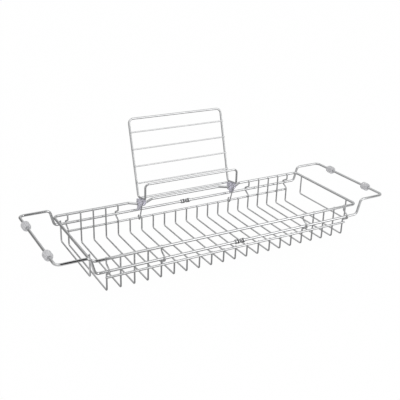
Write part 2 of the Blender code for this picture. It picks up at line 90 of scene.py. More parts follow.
def addRange(tree, value, fromLow, fromHigh, low, high):
    ranged = tree.nodes.new("ShaderNodeMapRange")
    for socket, number in zip(list(ranged.inputs)[1:5], (fromLow, fromHigh, low, high)):
        socket.default_value = number
    tree.links.new(value, ranged.inputs[0])
    return ranged.outputs[0]


def addColours(tree, value, stops):
    ramp = tree.nodes.new("ShaderNodeValToRGB")
    elements = ramp.color_ramp.elements
    while len(elements) < len(stops):
        elements.new(1.0)
    for element, (place, colour) in zip(elements, stops):
        element.position = place
        element.color = (*colour, 1.0)
    tree.links.new(value, ramp.inputs[0])
    return ramp.outputs[0]


def addBump(tree, height, strength, distance, before=None):
    bump = addNode(tree, "ShaderNodeBump", Strength=strength, Distance=distance)
    tree.links.new(height, bump.inputs["Height"])
    if before:
        tree.links.new(before, bump.inputs["Normal"])
    return bump.outputs["Normal"]


chrome = {
    "paleColour": (0.80, 0.805, 0.81),
    "deepColour": (0.72, 0.725, 0.735),
    "cloudScale": 38.0,
    "cloudDetail": 4.0,
    "colourEdges": (0.32, 0.68),
    "glossEdges": (0.3, 0.7),
    "smoothest": 0.05,
    "dullest": 0.15,
    "drawnLines": (9000.0, 26.0),
    "lineDetail": 2.0,
    "lineStrength": 0.25,
    "lineDepth": 0.00002,
    "peelScale": 900.0,
    "peelDetail": 3.0,
    "peelStrength": 0.3,
    "peelDepth": 0.000012,
}


def makeChrome(name, duller=0.0, shade=1.0):
    # Bright plate on drawn wire: faint lines along the wire, cloudy polish, a little orange peel
    material, tree, shader = makeMaterial(name)
    places = tree.nodes.new("ShaderNodeTexCoord")
    clouds = addNoise(
        tree, places.outputs["Object"], chrome["cloudScale"], chrome["cloudDetail"]
    )
    # shade scales the plate's colour; below 1 it darkens the plate as painted shade
    deep = [part * shade for part in chrome["deepColour"]]
    pale = [part * shade for part in chrome["paleColour"]]
    colour = addColours(tree, clouds, list(zip(chrome["colourEdges"], (deep, pale))))
    tree.links.new(colour, shader.inputs["Base Color"])
    smoothest, dullest = chrome["smoothest"] + duller, chrome["dullest"] + duller
    gloss = addRange(tree, clouds, *chrome["glossEdges"], smoothest, dullest)
    tree.links.new(gloss, shader.inputs["Roughness"])
    run = tree.nodes.new("ShaderNodeUVMap")
    run.uv_map = "run"
    stretch = tree.nodes.new("ShaderNodeMapping")
    stretch.inputs["Scale"].default_value = (*chrome["drawnLines"], 1.0)
    tree.links.new(run.outputs["UV"], stretch.inputs["Vector"])
    lines = addNoise(tree, stretch.outputs["Vector"], 1.0, chrome["lineDetail"])
    drawn = addBump(tree, lines, chrome["lineStrength"], chrome["lineDepth"])
    peel = addNoise(tree, places.outputs["Object"], chrome["peelScale"], chrome["peelDetail"])
    skin = addBump(tree, peel, chrome["peelStrength"], chrome["peelDepth"], drawn)
    tree.links.new(skin, shader.inputs["Normal"])
    shader.inputs["Metallic"].default_value = 1.0
    return material


def makeMoulded(name, look, deep, pale, smoothest, dullest):
    # A moulded surface: cloudy colour and gloss, with a fine grain
    material, tree, shader = makeMaterial(name)
    places = tree.nodes.new("ShaderNodeTexCoord").outputs["Object"]
    clouds = addNoise(tree, places, look["cloudScale"], look["cloudDetail"], look["cloudRoughness"])
    colour = addColours(tree, clouds, list(zip(look["cloudEdges"], (deep, pale))))
    tree.links.new(colour, shader.inputs["Base Color"])
    gloss = addRange(tree, clouds, *look["cloudEdges"], smoothest, dullest)
    tree.links.new(gloss, shader.inputs["Roughness"])
    grain = addNoise(tree, places, look["grainScale"], look["grainDetail"])
    skin = addBump(tree, grain, look["grainStrength"], look["grainDepth"])
    tree.links.new(skin, shader.inputs["Normal"])
    return material, shader


plastic = {
    "gripPale": (0.74, 0.74, 0.75),
    "gripDeep": (0.60, 0.60, 0.62),
    "gripSeeThrough": 0.30,
    "gripRoughness": 0.22,
    "clipPale": (0.87, 0.86, 0.92),
    "clipDeep": (0.74, 0.73, 0.81),
    "clipSeeThrough": 0.60,
    "clipRoughness": 0.18,
    "smoother": 0.06,
    "duller": 0.08,
    "bending": 1.20,
    "cloudScale": 140.0,
    "cloudDetail": 5.0,
    "cloudRoughness": 0.6,
    "cloudEdges": (0.3, 0.7),
    "grainScale": 2600.0,
    "grainDetail": 3.0,
    "grainStrength": 0.35,
    "grainDepth": 0.00006,
}


def makePlastic(name, part):
    # Milky soft plastic
    roughness = plastic[f"{part}Roughness"]
    material, shader = makeMoulded(
        name, plastic, plastic[f"{part}Deep"], plastic[f"{part}Pale"],
        roughness - plastic["smoother"], roughness + plastic["duller"],
    )
    shader.inputs["IOR"].default_value = plastic["bending"]
    shader.inputs["Transmission Weight"].default_value = plastic[f"{part}SeeThrough"]
    return material


# Near-black look of the cap rings, which paint the shade in the caps' grooves
grooveShadeLook = {
    "deepColour": (0.012, 0.012, 0.013),
    "paleColour": (0.03, 0.03, 0.032),
    "smoothest": 0.45,
    "dullest": 0.65,
    "cloudScale": 500.0,
    "cloudDetail": 4.0,
    "cloudRoughness": 0.5,
    "cloudEdges": (0.3, 0.7),
    "grainScale": 4000.0,
    "grainDetail": 2.0,
    "grainStrength": 0.3,
    "grainDepth": 0.00004,
}


chromePlate = makeChrome("chromePlate")
# The welds' plate is darkened to 0.45: painted shade for the dark gaps where crossing wires meet
weldPlatePaintedShade = makeChrome("weldPlatePaintedShade", duller=0.12, shade=0.45)
capPlate = makeChrome("capPlate", duller=0.02)
frostedGrip = makePlastic("frostedGrip", "grip")
milkyClip = makePlastic("milkyClip", "clip")
# The cap rings' material: near-black painted shade
grooveShadeRing, _ = makeMoulded(
    "grooveShadeRing", grooveShadeLook, grooveShadeLook["deepColour"], grooveShadeLook["paleColour"],
    grooveShadeLook["smoothest"], grooveShadeLook["dullest"],
)
print("materials made")


# Shared shapes

def placePiece(name, bm, material, body, standsFor=()):
    bmesh.ops.recalc_face_normals(bm, faces=bm.faces)
    mesh = bpy.data.meshes.new(name)
    bm.to_mesh(mesh)
    bm.free()
    mesh.materials.append(material)
    mesh.shade_smooth()
    mesh.set_sharp_from_angle(angle=meshing["smoothBelow"])
    piece = bpy.data.objects.new(name, mesh)
    bpy.context.collection.objects.link(piece)
    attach(piece, body)
    if standsFor:
        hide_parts(*standsFor)
    return piece


def arcPoints(centre, acrossA, acrossB, radius, start, end):
    steps = max(2, math.ceil(abs(end - start) / meshing["bendStep"]))
    angles = [start + (end - start) * i / steps for i in range(steps + 1)]
    return [
        centre + acrossA * (radius * math.cos(a)) + acrossB * (radius * math.sin(a))
        for a in angles
    ]


def bendRoute(corners, bends, closed=False):
    # A wire's centre line, with an arc at each corner
    corners = [Vector(c) for c in corners]
    count = len(corners)
    points = []
    for i, corner in enumerate(corners):
        if not closed and i in (0, count - 1):
            points.append(corner)
            continue
        back = (corners[i - 1] - corner).normalized()
        ahead = (corners[(i + 1) % count] - corner).normalized()
        half = back.angle(ahead) / 2
        bend = bends[i] if isinstance(bends, (list, tuple)) else bends
        centre = corner + (back + ahead).normalized() * (bend / math.sin(half))
        out = (corner + back * (bend / math.tan(half)) - centre).normalized()
        points += arcPoints(centre, out, -back, bend, 0, math.pi - 2 * half)
    return points


def bendPairs(route, closed=False):
    # The same from (place, bend) pairs
    return bendRoute([place for place, _ in route], [bend for _, bend in route], closed)


def sweepRound(bm, route, radius, sides, closed=False, tipShare=0.3):
    # A round section along a route; the map "run" holds metres round and along the wire
    run = bm.loops.layers.uv.verify()
    count = len(route)
    tangents = []
    for i in range(count):
        back = route[i] - route[i - 1] if closed or i > 0 else route[1] - route[0]
        ahead = route[(i + 1) % count] - route[i] if closed or i < count - 1 else back
        tangents.append((back.normalized() + ahead.normalized()).normalized())
    across = tangents[0].orthogonal().normalized()
    frames = [across]
    for before, after in zip(tangents, tangents[1:]):
        across = before.rotation_difference(after) @ across
        frames.append(across)
    twist = 0.0
    if closed:
        back = tangents[-1].rotation_difference(tangents[0]) @ across
        first = frames[0]
        twist = math.atan2(back.cross(first).dot(tangents[0]), back.dot(first))
    stations = [(route[i], tangents[i], frames[i], radius) for i in range(count)]
    if not closed:
        tip = radius * tipShare
        start, end = stations[0], stations[-1]
        stations[0] = (start[0] + start[1] * tip, *start[1:])
        stations[-1] = (end[0] - end[1] * tip, *end[1:])
        stations.insert(0, (*start[:3], radius - tip))
        stations.append((*end[:3], radius - tip))
    rings, along = [], [0.0]
    for i, (place, tangent, side, width) in enumerate(stations):
        over = tangent.cross(side)
        spin = twist * i / len(stations)
        angles = [2 * math.pi * k / sides + spin for k in range(sides)]
        rings.append([
            bm.verts.new(place + side * (width * math.cos(a)) + over * (width * math.sin(a)))
            for a in angles
        ])
        if i:
            along.append(along[-1] + (place - stations[i - 1][0]).length)
    spans = len(rings) if closed else len(rings) - 1
    girth = 2 * math.pi * radius / sides
    along.append(along[-1] + (stations[0][0] - stations[-1][0]).length)
    for i in range(spans):
        near, far = rings[i], rings[(i + 1) % len(rings)]
        for k in range(sides):
            n = (k + 1) % sides
            face = bm.faces.new((near[k], near[n], far[n], far[k]))
            places = ((k, i), (k + 1, i), (k + 1, i + 1), (k, i + 1))
            for loop, (turn, step) in zip(face.loops, places):
                loop[run].uv = (turn * girth, along[step])
    if not closed:
        bm.faces.new(list(reversed(rings[0])))
        bm.faces.new(rings[-1])


def makeWire(name, route, radius, sides, body, standsFor, closed=False):
    bm = bmesh.new()
    bm.loops.layers.uv.new("run")
    sweepRound(bm, route, radius, sides, closed)
    return placePiece(name, bm, chromePlate, body, [standsFor])


def turnProfile(profile, centre, axis, across, sides, ring=False):
    # A profile of (along, radius) points turned about an axis: a solid, or a ring with a bore
    bm = bmesh.new()
    other = axis.cross(across)
    rings = []
    for along, radius in profile:
        if radius == 0:
            rings.append([bm.verts.new(centre + axis * along)] * sides)
            continue
        angles = [2 * math.pi * k / sides for k in range(sides)]
        rings.append([
            bm.verts.new(
                centre + axis * along
                + across * (radius * math.cos(a)) + other * (radius * math.sin(a))
            )
            for a in angles
        ])
    for near, far in zip(rings, rings[1:] + rings[:1] if ring else rings[1:]):
        for k in range(sides):
            n = (k + 1) % sides
            corners = list(dict.fromkeys((near[k], near[n], far[n], far[k])))
            bm.faces.new(corners)
    return bm


def roundedEdge(radius, edge):
    steps = meshing["edgeSteps"]
    angles = [math.pi / 2 * i / steps for i in range(steps + 1)]
    return [(edge * (1 - math.cos(a)), radius - edge * (1 - math.sin(a))) for a in angles]


def extrudeOutline(outline, lowX, highX):
    bm = bmesh.new()
    near = [bm.verts.new((lowX, y, z)) for y, z in outline]
    far = [bm.verts.new((highX, y, z)) for y, z in outline]
    for k in range(len(outline)):
        n = (k + 1) % len(outline)
        bm.faces.new((near[k], near[n], far[n], far[k]))
    bm.faces.new(list(reversed(near)))
    bm.faces.new(far)
    return bm


def cutAway(piece, cutters, edge):
    # Cuts solids out of a piece, softens the edges and keeps the result as its mesh
    for i, bm in enumerate(cutters):
        bmesh.ops.recalc_face_normals(bm, faces=bm.faces)
        mesh = bpy.data.meshes.new("cutter")
        bm.to_mesh(mesh)
        bm.free()
        cutter = bpy.data.objects.new("cutter", mesh)
        bpy.context.collection.objects.link(cutter)
        cut = piece.modifiers.new(f"cut{i}", "BOOLEAN")
        cut.operation = "DIFFERENCE"
        cut.solver = "EXACT"
        cut.object = cutter
    if edge:
        soften = piece.modifiers.new("soften", "BEVEL")
        soften.width = edge
        soften.segments = meshing["bevelSteps"]
        soften.limit_method = "ANGLE"
        soften.angle_limit = meshing["smoothBelow"]
    bpy.context.view_layer.update()
    seen = piece.evaluated_get(bpy.context.evaluated_depsgraph_get())
    made = bpy.data.meshes.new_from_object(seen)
    tools = [m.object for m in piece.modifiers if m.type == "BOOLEAN"]
    piece.modifiers.clear()
    piece.data = made
    for tool in tools:
        bpy.data.objects.remove(tool)
    made.shade_smooth()
    made.set_sharp_from_angle(angle=meshing["smoothBelow"])


def middle(node):
    low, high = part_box(node)
    return (low + high) / 2


def buildStraightWire(node, name, radius, sides, steps, body):
    low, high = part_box(node)
    centre = middle(node)
    points = [
        Vector((low.x + (high.x - low.x) * i / steps, centre.y, centre.z))
        for i in range(steps + 1)
    ]
    makeWire(name, points, radius, sides, body, node)


# Places read from the frame

sizes = {
    "rimWire": 0.00245,
    "armWire": 0.0024,
    "railWire": 0.0020,
    "crossWire": 0.00145,
    "rackWire": 0.0020,
    "rackBar": 0.0013,
    "bracketWire": 0.0012,
    "weldGap": 0.0003,
    # The arms' solids are prisms with this many sides
    "armSides": 10,
}

rimLow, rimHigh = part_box("basket_rim")
rimX = rimHigh.x - sizes["rimWire"]
rimY = rimHigh.y - sizes["rimWire"]
rimZ = middle("basket_rim").z
floorLow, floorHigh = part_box("cross_wire_11")
crossFlat = (floorHigh.x - floorLow.x) / 2
wallY = floorHigh.y - crossFlat
floorZ = floorLow.z + sizes["crossWire"]
railY = middle("rear_lower_rail").y
railZ = middle("rear_lower_rail").z
armLow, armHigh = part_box("right_arm")
legY = armHigh.y - sizes["armWire"]
armFlat = sizes["armWire"] * math.cos(math.pi / sizes["armSides"])
armZ = armHigh.z - armFlat
legZ = armLow.z + armFlat
pivot = Vector(joints["rack_fold"]["pos_m"])
clipX = (middle("right_rack_clip").x - middle("left_rack_clip").x) / 2
clipShift = -(middle("right_rack_clip").x + middle("left_rack_clip").x) / 2


# Basket

basket = {
    "wireCount": 21,
    "fullWires": 5,
    "guidePlaces": (0, 4),
    "floorBend": 0.0036,
    "rimCorner": 0.0090,
    "guideHalfHeight": 0.0100,
    "guideBend": 0.0025,
    "guideEase": 0.0001,
    "runningGap": 0.0004,
    "jogFlat": 0.0186,
    "jogInnerRun": 0.0170,
    "jogOuterRun": 0.0145,
    "jogBend": 0.0055,
}


def buildRim():
    inner = clipX - basket["jogFlat"] / 2
    outer = clipX + basket["jogFlat"] / 2
    jog = basket["jogBend"]
    back = [
        (rimX, rimY, basket["rimCorner"]),
        (outer + basket["jogOuterRun"], rimY, jog),
        (outer, pivot.y, jog),
        (inner, pivot.y, jog),
        (inner - basket["jogInnerRun"], rimY, jog),
    ]
    route = back + [(-x, y, bend) for x, y, bend in reversed(back)]
    route += [(-rimX, -rimY, basket["rimCorner"]), (rimX, -rimY, basket["rimCorner"])]
    points = bendPairs([((x, y, rimZ), bend) for x, y, bend in route], closed=True)
    makeWire(
        "rimWire", points, sizes["rimWire"], meshing["thickSides"], "basket", "basket_rim", True
    )


def buildRails():
    for node, name in (("front_lower_rail", "frontRail"), ("rear_lower_rail", "rearRail")):
        buildStraightWire(
            node, name, sizes["railWire"], meshing["thickSides"], meshing["railSteps"], "basket"
        )


def guideApex():
    # Where a guide loop's straight flanks would meet, out from the wall
    reach = legY - wallY
    half = basket["guideHalfHeight"]
    radius = sizes["armWire"] + basket["runningGap"] + sizes["crossWire"] - basket["guideEase"]
    a = half ** 2 - radius ** 2
    b = -2 * radius ** 2 * reach
    c = -radius ** 2 * (half ** 2 + reach ** 2)
    return legY + (-b + math.sqrt(b ** 2 - 4 * a * c)) / (2 * a), radius


def buildCrossWires():
    apex, loopRadius = guideApex()
    half = basket["guideHalfHeight"]
    for i in range(basket["wireCount"]):
        node = f"cross_wire_{i + 1:02d}"
        fromEnd = min(i, basket["wireCount"] - 1 - i)
        _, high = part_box(node)
        x = middle(node).x
        heights = [(wallY, high.z, None)]
        if fromEnd in basket["guidePlaces"]:
            heights += [
                (wallY, legZ + half, basket["guideBend"]),
                (apex, legZ, loopRadius),
                (wallY, legZ - half, basket["guideBend"]),
            ]
        heights.append((wallY, floorZ, basket["floorBend"]))
        front = [((x, -y, z), bend) for y, z, bend in heights]
        route = front + [((x, y, z), bend) for y, z, bend in reversed(heights)]
        points = bendPairs(route)
        name = f"crossWire{i + 1:02d}"
        makeWire(name, points, sizes["crossWire"], meshing["thinSides"], "basket", node)


def buildEndWires():
    for node, name in (("left_end_wire", "leftEndWire"), ("right_end_wire", "rightEndWire")):
        low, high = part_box(node)
        x = middle(node).x
        front, rear, bottom = low.y + crossFlat, high.y - crossFlat, low.z + crossFlat
        corners = [(x, front, high.z), (x, front, bottom), (x, rear, bottom), (x, rear, high.z)]
        points = bendRoute(corners, basket["floorBend"])
        makeWire(name, points, sizes["crossWire"], meshing["thinSides"], "basket", node)


buildRim()
buildRails()
buildCrossWires()
buildEndWires()
print("basket wires made")


# Arms, stop caps and grip pads

arms = {
    "restLength": 0.0565,
    "stepRun": 0.0080,
    "stepBend": 0.0080,
    "cornerBend": 0.0095,
    "capRadius": 0.0043,
    "capWall": 0.0016,
    "capEdge": 0.0030,
    "capBeadLength": 0.0037,
    "capTaper": 0.0005,
    "capCollar": 0.0035,
    "capWaistWall": 0.0005,
    "capSoftEdge": 0.0003,
    "ringProud": 0.0007,
    "capOuterEdge": 0.0012,
    "gripEdge": 0.0040,
    "gripMouthWall": 0.0005,
    "gripMouthDepth": 0.0005,
    "boreGap": 0.00012,
}


def buildArm(side, label):
    node = f"{label}_arm"
    low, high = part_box(node)
    inner, outer = sorted((abs(low.x), abs(high.x)))
    endX = outer - sizes["armWire"]
    topX = endX - arms["restLength"]
    halfRoute = [
        ((side * inner, legY, legZ), None),
        ((side * (topX - arms["stepRun"]), legY, legZ), arms["stepBend"]),
        ((side * topX, legY, armZ), arms["stepBend"]),
        ((side * endX, legY, armZ), arms["cornerBend"]),
    ]
    route = [((x, -y, z), bend) for (x, y, z), bend in halfRoute] + list(reversed(halfRoute))
    points = bendPairs(route)
    makeWire(f"{label}ArmWire", points, sizes["armWire"], meshing["thickSides"], node, node)


def buildStopCap(side, label, place):
    # A domed bead, a groove with a near-black ring in it as painted shade for the groove, and a
    # collar
    node = f"{label}_{place}_stop_cap"
    low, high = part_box(node)
    centre = middle(node)
    near = low.x if side > 0 else high.x
    length = high.x - low.x
    radius = arms["capRadius"]
    bore = sizes["armWire"] + sizes["weldGap"]
    waist = bore + arms["capWaistWall"]
    soft = arms["capSoftEdge"]
    bead = arms["capBeadLength"]
    collar = length - arms["capCollar"]
    outer = [(length - z, r) for z, r in reversed(roundedEdge(radius, arms["capOuterEdge"]))]
    profile = [(0, 0)] + roundedEdge(radius, arms["capEdge"]) + [
        (bead - soft, radius),
        (bead, radius - soft),
        (bead + arms["capTaper"], waist),
        (collar - arms["capTaper"], waist),
        (collar, radius - soft),
        (collar + soft, radius),
    ] + outer + [(length, bore), (arms["capWall"], bore), (arms["capWall"], 0)]
    start = Vector((near, centre.y, centre.z))
    axis, across = Vector((side, 0, 0)), Vector((0, 0, 1))
    bm = turnProfile(profile, start, axis, across, meshing["turnedSides"])
    placePiece(f"{label}{place.title()}Cap", bm, capPlate, f"{label}_arm", [node])

    proud = waist + arms["ringProud"]
    ring = [
        (bead, waist), (bead, proud - soft), (bead + soft, proud),
        (collar - soft, proud), (collar, proud - soft), (collar, waist),
    ]
    # The ring has no slot, because the record has no such ring: it is a near-black band that stands
    # for the groove's shade
    bm = turnProfile(ring, start, axis, across, meshing["turnedSides"], ring=True)
    placePiece(f"{label}{place.title()}CapGrooveShade", bm, grooveShadeRing, f"{label}_arm")


def buildGrip(label, place):
    # A barrel along the end bar, with a shallow mouth round the bar at each end
    node = f"{label}_{place}_grip"
    low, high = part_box(node)
    centre = middle(node)
    half = (high.y - low.y) / 2
    radius = (high.x - low.x) / 2
    bore = sizes["armWire"] + arms["boreGap"]
    end = [
        (-half + arms["gripMouthDepth"], bore),
        (-half, bore + arms["gripMouthWall"]),
    ]
    end += [(along - half, r) for along, r in roundedEdge(radius, arms["gripEdge"])]
    profile = end + [(-along, r) for along, r in reversed(end)]
    axis, across = Vector((0, 1, 0)), Vector((0, 0, 1))
    bm = turnProfile(profile, centre, axis, across, meshing["turnedSides"], ring=True)
    placePiece(f"{label}{place.title()}Pad", bm, frostedGrip, node, [node])


for side, label in ((-1, "left"), (1, "right")):
    buildArm(side, label)
    for place in ("front", "rear"):
        buildStopCap(side, label, place)
        buildGrip(label, place)
print("arms, caps and pads made")


# Reading rack

rack = {
    "lean": math.radians(16.8),
    "height": 0.1509,
    "corner": 0.0090,
    "footBend": 0.0055,
    "footBack": 0.0164,
    "ledgeLift": 0.0096,
    "ledgeSlope": math.radians(8.2),
    "ledgeDepth": 0.0322,
    "lipHeight": 0.0312,
    "lipCorner": 0.0075,
    "barCount": 4,
}


def rackProfile():
    rise = rack["ledgeLift"] - rack["footBack"] * math.tan(rack["ledgeSlope"])
    foot = Vector((rack["footBack"], rise))
    top = foot + Vector((math.sin(rack["lean"]), math.cos(rack["lean"]))) * rack["height"]
    slope = Vector((-math.cos(rack["ledgeSlope"]), math.sin(rack["ledgeSlope"])))
    base = foot + slope * rack["ledgeDepth"]
    return top, foot, base, base + Vector((0, rack["lipHeight"]))


def buildRackFrame():
    top, foot, base, lip = rackProfile()
    half = [
        (top, rack["corner"]), (foot, rack["footBend"]), (base, rack["footBend"]),
        (lip, rack["lipCorner"]),
    ]
    corners = [pivot + Vector((-clipX, p.x, p.y)) for p, _ in half]
    corners += [pivot + Vector((clipX, p.x, p.y)) for p, _ in reversed(half)]
    bends = [bend for _, bend in half]
    points = bendRoute(corners, bends + bends[::-1], closed=True)
    makeWire(
        "rackFrameWire", points, sizes["rackWire"], meshing["thickSides"],
        "reading_rack", "rack_frame", True,
    )


def buildRackBar(node, name, radius):
    buildStraightWire(
        node, name, radius, meshing["thinSides"], meshing["barSteps"], "reading_rack"
    )


buildRackFrame()
for i in range(rack["barCount"]):
    buildRackBar(f"rack_bar_{i + 1}", f"rackBar{i + 1}", sizes["rackBar"])
buildRackBar("ledge_bar", "ledgeBar", sizes["rackWire"])
print("rack wires made")


# Clips and brackets, where the rack turns on the rim

clip = {
    "length": 0.0150,
    "radius": 0.0060,
    "saddleWidth": 0.0110,
    "cradleDrop": 0.0010,
    "slotGap": 0.0004,
    "slotOffset": 0.0012,
    "mouthWidth": 0.0038,
    "mouthAngle": math.radians(222),
    "tailLength": 0.0135,
    "tailThickness": 0.0025,
    "tailWidth": 0.0100,
    "edge": 0.0004,
    "boreGap": 0.00015,
    "hookTopStart": math.radians(-35),
    "tipRise": 0.0032,
    "tipLength": 0.0072,
    "tipLean": math.radians(58),
    "tipBend": 0.0025,
    "overrun": 0.0020,
}
eyeRadius = sizes["rimWire"] + sizes["weldGap"] + sizes["bracketWire"]
hookRadius = sizes["railWire"] + sizes["weldGap"] + sizes["bracketWire"]


def shankAngle():
    rail = Vector((railY - pivot.y, railZ - rimZ))
    return math.acos((hookRadius - eyeRadius) / rail.length) + math.atan2(rail.y, rail.x)


def buildBracket(side, label):
    beta = shankAngle()
    x = side * (clipX + clip["slotOffset"])
    eye, hook = Vector((x, pivot.y, rimZ)), Vector((x, railY, railZ))
    alongY, alongZ = Vector((0, 1, 0)), Vector((0, 0, 1))
    points = arcPoints(eye, alongY, alongZ, eyeRadius, clip["hookTopStart"], math.pi + beta)
    points += arcPoints(hook, alongY, alongZ, hookRadius, math.pi + beta, 2 * math.pi)
    rise = points.pop()
    turn = rise + alongZ * clip["tipRise"]
    lean = alongZ * math.cos(clip["tipLean"]) - alongY * math.sin(clip["tipLean"])
    points += bendRoute([rise, turn, turn + lean * clip["tipLength"]], clip["tipBend"])
    node = f"{label}_rack_bracket"
    makeWire(f"{label}Bracket", points, sizes["bracketWire"], meshing["thinSides"], "basket", node)


def circleCrossing(normal, offset, direction, radius):
    return normal * offset + direction * math.sqrt(radius ** 2 - offset ** 2)


def clipDirections():
    beta = shankAngle()
    normal = Vector((math.cos(beta), math.sin(beta)))
    return normal, Vector((normal.y, -normal.x))


def clipOutline():
    # Side view from the pivot: a drum, a saddle over it and a tail behind the bracket
    normal, down = clipDirections()
    front = -eyeRadius + sizes["bracketWire"] + sizes["weldGap"]
    back = front + clip["tailThickness"]
    tailStart = circleCrossing(normal, front, down, clip["radius"])
    tailEnd = circleCrossing(normal, back, down, clip["radius"])
    half = clip["saddleWidth"] / 2
    shoulder = math.acos(half / clip["radius"])
    top = rack["ledgeLift"] - clip["cradleDrop"]
    origin, alongY, alongZ = Vector((0, 0)), Vector((1, 0)), Vector((0, 1))
    start = math.atan2(tailStart.y, tailStart.x) + 2 * math.pi
    end = math.atan2(tailEnd.y, tailEnd.x) + 2 * math.pi
    outline = [Vector((half, top)), Vector((-half, top))]
    outline += arcPoints(origin, alongY, alongZ, clip["radius"], math.pi - shoulder, start)
    tail = down * clip["tailLength"]
    outline += [normal * front + tail, normal * back + tail]
    outline += arcPoints(origin, alongY, alongZ, clip["radius"], end, 2 * math.pi + shoulder)
    return outline


def slotOutline():
    # The room that the bracket needs, from its eye to its shank
    normal, down = clipDirections()
    radius = eyeRadius + sizes["bracketWire"] + clip["slotGap"]
    edge = -eyeRadius + sizes["bracketWire"] + sizes["weldGap"] / 2
    reach = clip["radius"] + clip["overrun"]
    corner = circleCrossing(normal, edge, down, radius)
    foot = normal * edge + down * reach
    start = math.atan2(corner.y, corner.x)
    arc = arcPoints(Vector((0, 0)), Vector((1, 0)), Vector((0, 1)), radius, start, math.pi / 2)
    return [Vector((-reach, radius)), Vector((-reach, foot.y)), foot] + arc


def buildClip(side, label):
    node = f"{label}_rack_clip"

    def inPlace(outline):
        return [(pivot.y + p[0], rimZ + p[1]) for p in outline]

    middleX = side * clipX - clipShift
    half = clip["length"] / 2
    body = extrudeOutline(inPlace(clipOutline()), middleX - half, middleX + half)
    piece = placePiece(f"{label}Clip", body, milkyClip, "reading_rack", [node])

    slotX = side * (clipX + clip["slotOffset"])
    halfSlot = sizes["bracketWire"] + clip["slotGap"]
    slot = extrudeOutline(inPlace(slotOutline()), slotX - halfSlot, slotX + halfSlot)

    reach = half + clip["overrun"]
    radius = sizes["rimWire"] + clip["boreGap"]
    bore = turnProfile(
        [(-reach, 0), (-reach, radius), (reach, radius), (reach, 0)],
        Vector((middleX, pivot.y, rimZ)), Vector((1, 0, 0)), Vector((0, 0, 1)),
        meshing["boreSides"],
    )

    out = Vector((math.cos(clip["mouthAngle"]), math.sin(clip["mouthAngle"])))
    across = Vector((-out.y, out.x)) * (clip["mouthWidth"] / 2)
    far = out * (clip["radius"] + clip["overrun"])
    mouth = extrudeOutline(
        inPlace([-across, far - across, far + across, across]),
        middleX - reach, middleX + reach,
    )

    along = Vector((0, -math.cos(rack["ledgeSlope"]), math.sin(rack["ledgeSlope"])))
    radius = sizes["rackWire"] + clip["boreGap"]
    span = clip["saddleWidth"] / 2 + clip["overrun"]
    groove = turnProfile(
        [(-span, 0), (-span, radius), (span, radius), (span, 0)],
        pivot + Vector((side * clipX, 0, rack["ledgeLift"])), along, Vector((1, 0, 0)),
        meshing["boreSides"],
    )

    inner = middleX - side * half
    spare = clip["length"] - clip["tailWidth"]
    low, high = sorted((inner - side * clip["overrun"], inner + side * spare))
    drum, tail = clip["radius"], clip["tailLength"]
    end = -tail - clip["overrun"]
    flank = extrudeOutline(
        inPlace([(-drum, -drum), (-drum, end), (tail, end), (tail, -drum)]), low, high
    )
    cutAway(piece, [slot, bore, mouth, groove, flank], clip["edge"])


for side, label in ((-1, "left"), (1, "right")):
    buildBracket(side, label)
    buildClip(side, label)
print("clips and brackets made")


# Weld nuggets at the crossings

weld = {
    "lengthShare": 1.0,
    "widthShare": 0.75,
    "depthShare": 0.35,
    "rings": 8,
    "sides": 16,
}


def addNugget(bm, place, alongA, alongB, radiusA, radiusB):
    # A small lens between two crossing wires; alongA runs with wire A
    normal = alongA.cross(alongB)
    sizeA = radiusB * weld["lengthShare"]
    sizeB = radiusA * weld["widthShare"]
    depth = sizes["weldGap"] / 2 + min(radiusA, radiusB) * weld["depthShare"]
    shape = Matrix((alongA * sizeA, alongB * sizeB, normal * depth)).transposed()
    matrix = Matrix.Translation(place) @ shape.to_4x4()
    bmesh.ops.create_uvsphere(
        bm, u_segments=weld["sides"], v_segments=weld["rings"], radius=1.0, matrix=matrix
    )


def buildWelds():
    alongX, alongY, alongZ = Vector((1, 0, 0)), Vector((0, 1, 0)), Vector((0, 0, 1))
    bm = bmesh.new()
    touch = sizes["weldGap"] / 2
    touchY = wallY + sizes["crossWire"] + touch
    for i in range(basket["wireCount"]):
        x = middle(f"cross_wire_{i + 1:02d}").x
        fromEnd = min(i, basket["wireCount"] - 1 - i)
        for ySide in (-1, 1):
            place = Vector((x, ySide * touchY, railZ))
            addNugget(bm, place, alongX, alongZ, sizes["railWire"], sizes["crossWire"])
            if fromEnd < basket["fullWires"]:
                place = Vector((x, ySide * touchY, rimZ))
                addNugget(bm, place, alongX, alongZ, sizes["rimWire"], sizes["crossWire"])
    for node in ("left_end_wire", "right_end_wire"):
        low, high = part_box(node)
        x = (low.x + high.x) / 2
        touchX = math.copysign(abs(x) + sizes["crossWire"] + touch, x)
        for y in (low.y + crossFlat, high.y - crossFlat):
            place = Vector((touchX, y, rimZ))
            addNugget(bm, place, alongY, alongZ, sizes["rimWire"], sizes["crossWire"])
    # The nuggets carry the darkened weld plate, painted shade at the crossings
    placePiece("basketWelds", bm, weldPlatePaintedShade, "basket")

    bm = bmesh.new()
    alongLean = Vector((0, math.sin(rack["lean"]), math.cos(rack["lean"])))
    front = Vector((0, -math.cos(rack["lean"]), math.sin(rack["lean"])))
    for i in range(rack["barCount"]):
        centre = middle(f"rack_bar_{i + 1}") - front * (sizes["rackBar"] + touch)
        for xSide in (-1, 1):
            place = Vector((xSide * clipX, centre.y, centre.z))
            addNugget(bm, place, alongX, alongLean, sizes["rackBar"], sizes["rackWire"])
    centre = middle("ledge_bar")
    for xSide in (-1, 1):
        place = Vector((xSide * (clipX - sizes["rackWire"] - touch), centre.y, centre.z))
        addNugget(bm, place, alongLean, front, sizes["rackWire"], sizes["rackWire"])
    placePiece("rackWelds", bm, weldPlatePaintedShade, "reading_rack")


buildWelds()
print("welds made")


# Studio: floor, world, lamps and camera

